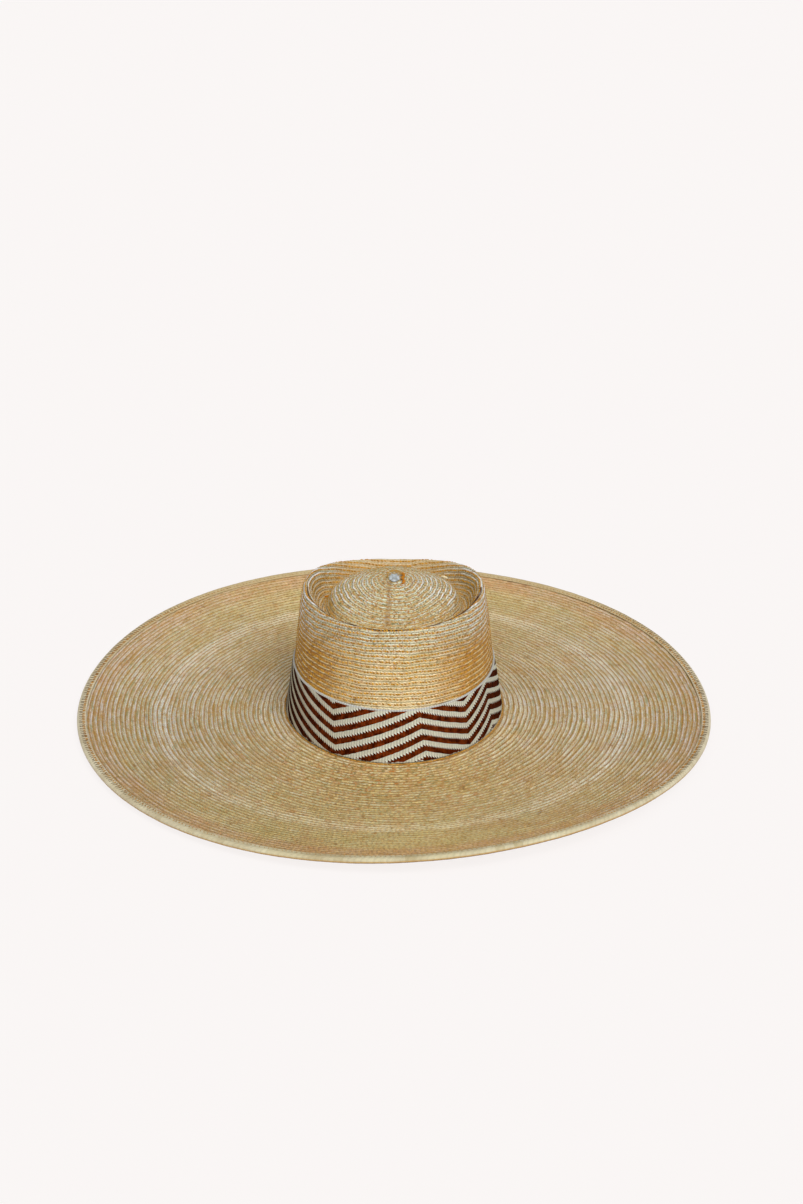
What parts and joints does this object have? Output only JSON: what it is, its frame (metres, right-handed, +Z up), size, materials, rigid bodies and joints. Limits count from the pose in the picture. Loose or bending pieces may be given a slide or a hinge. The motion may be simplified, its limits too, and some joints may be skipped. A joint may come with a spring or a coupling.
{
  "type": "wide-brim sun hat",
  "caption": "Wide-brim sun hat of sewn palm braid, with a telescope crown, a folded brim edge and a woven zigzag hat band.",
  "frame": {"origin": "the middle of the hat's footprint, on the level surface it rests on", "axes": "+X to the wearer's left, +Y to the back of the head, +Z up through the crown; the wearer's face is towards -Y"},
  "size_m": [0.4938, 0.5322, 0.1141],
  "materials": {
    "palm_braid": "matte sewn palm braid, sand and grey with golden stitching",
    "brim_braid": "matte sewn palm braid in tan, olive and reddish rows",
    "binding_braid": "pale palm braid folded over the edge",
    "band_cloth": "off-white woven cloth with a red-brown zigzag",
    "button_braid": "pale grey palm braid"
  },
  "bodies": {
    "root": {"crown": "palm_braid", "brim": "brim_braid", "edge_binding": "binding_braid", "hat_band": "band_cloth", "tip_button": "button_braid"}
  },
  "joints": []
}
